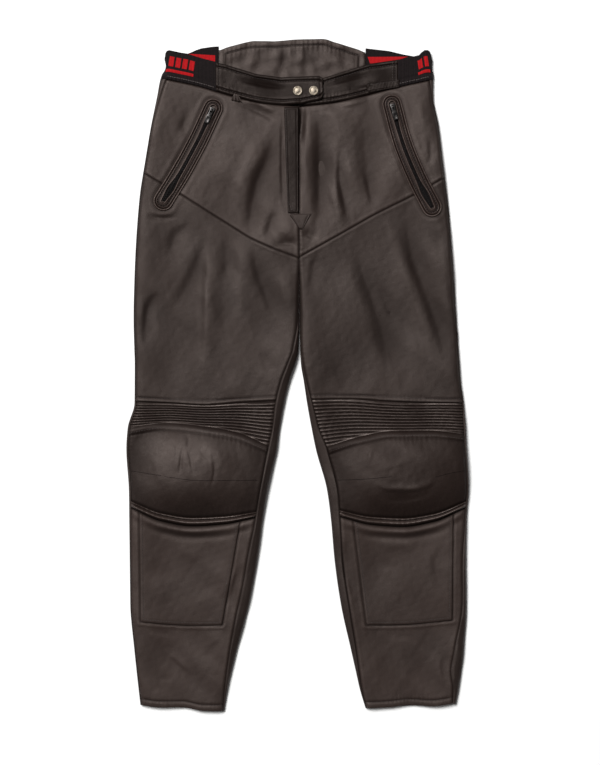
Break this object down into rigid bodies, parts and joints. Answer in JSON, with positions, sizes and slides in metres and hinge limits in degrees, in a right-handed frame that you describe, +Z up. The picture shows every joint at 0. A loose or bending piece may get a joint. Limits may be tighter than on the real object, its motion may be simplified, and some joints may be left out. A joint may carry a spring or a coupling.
{
  "type": "motorcycle trousers",
  "caption": "Black-brown leather motorcycle trousers laid flat, front up, with slanted zip pockets, side elastics, ribbed stretch panels over the knees, domed knee cups and shin patches.",
  "frame": {"origin": "on the ground under the middle of the garment's bounding box, as it lies on its back", "axes": "+Y from the hems to the waist, +Z up out of the front, +X towards the wearer's left side"},
  "size_m": [0.5316, 1.044, 0.0297],
  "materials": {
    "leather": "satin, fine grain",
    "accordion": "satin, ribbed",
    "knee_leather": "soft sheen",
    "elastic": "woven, matt, with red stripes",
    "zip": "dark, satin",
    "pull": "dark, satin",
    "snap": "old, brushed"
  },
  "bodies": {
    "trousers": {"hip_front_right": "leather", "hip_front_left": "leather", "thigh_right": "leather", "thigh_left": "leather", "knee_roll_right": "leather", "knee_roll_left": "leather", "shin_right": "leather", "shin_left": "leather", "shin_patch_right": "leather", "shin_patch_left": "leather", "back_leg_right": "leather", "back_leg_left": "leather", "seat_right": "leather", "seat_left": "leather", "pocket_welt_right": "leather", "pocket_welt_left": "leather", "waistband_right": "leather", "waistband_left": "leather", "back_yoke": "leather", "fly_placket": "leather", "fly_tab": "leather", "belt_loop_stub": "leather", "side_tab": "leather", "accordion_right": "accordion", "accordion_left": "accordion", "knee_right": "knee_leather", "knee_left": "knee_leather", "elastic_right": "elastic", "elastic_left": "elastic", "pocket_zip_right": "zip", "pocket_zip_left": "zip", "pocket_slider_right": "zip", "pocket_slider_left": "zip", "snap_cap_right": "snap", "snap_cap_left": "snap"},
    "pull_right": {"pocket_pull_right": "pull"},
    "pull_left": {"pocket_pull_left": "pull"}
  },
  "joints": [
    {"name": "pull_right_hinge", "type": "hinge", "parent": "trousers", "child": "pull_right", "pos_m": [-0.1331, 0.40896, 0.01393], "axis": [-0.9099, 0.4148, 0], "range_deg": [0, 150]},
    {"name": "pull_left_hinge", "type": "hinge", "parent": "trousers", "child": "pull_left", "pos_m": [0.14782, 0.41488, 0.01395], "axis": [-0.9679, -0.2512, 0], "range_deg": [0, 150]}
  ]
}
